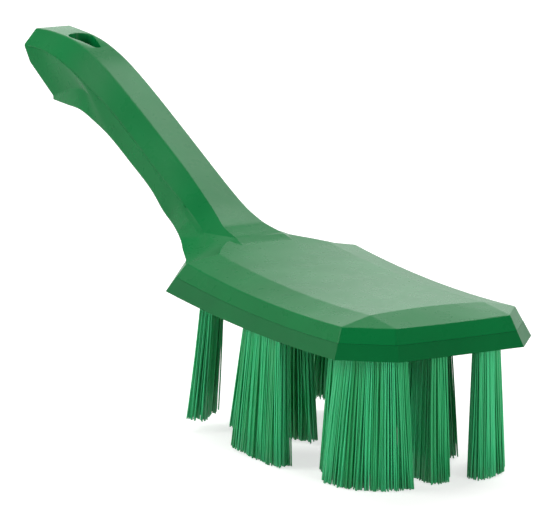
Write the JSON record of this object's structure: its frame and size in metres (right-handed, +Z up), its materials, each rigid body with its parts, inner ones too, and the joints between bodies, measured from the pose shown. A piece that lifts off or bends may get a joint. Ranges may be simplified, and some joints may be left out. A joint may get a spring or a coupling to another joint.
{
  "type": "hand brush",
  "caption": "Short-handled hand brush: a cranked, faceted handle with a hanging hole, a cut-cornered block on a rocker curve, and separate flared bristle units set into its underside.",
  "frame": {"origin": "halfway along the overall length, on the middle plane, at the level of the lowest bristle tips", "axes": "+X from the end of the handle to the front of the block, +Y across the block, +Z up from the bristle tips to the handle"},
  "size_m": [0.26, 0.074, 0.1115],
  "materials": {
    "body_plastic": "satin moulded polypropylene",
    "plate_plastic": "satin moulded polypropylene",
    "bristle": "extruded polyester filament"
  },
  "bodies": {
    "root": {"body_top": "body_plastic", "bristle_plate": "plate_plastic", "tuft_front_middle": "bristle", "tuft_rear_middle": "bristle", "tuft_rear_corner_near": "bristle", "tuft_rear_corner_far": "bristle", "tuft_slanted_near": "bristle", "tuft_slanted_far": "bristle", "tuft_side_near": "bristle", "tuft_side_far": "bristle", "tuft_cross_near": "bristle", "tuft_cross_far": "bristle", "tuft_front_corner_near": "bristle", "tuft_front_corner_far": "bristle"}
  },
  "joints": []
}
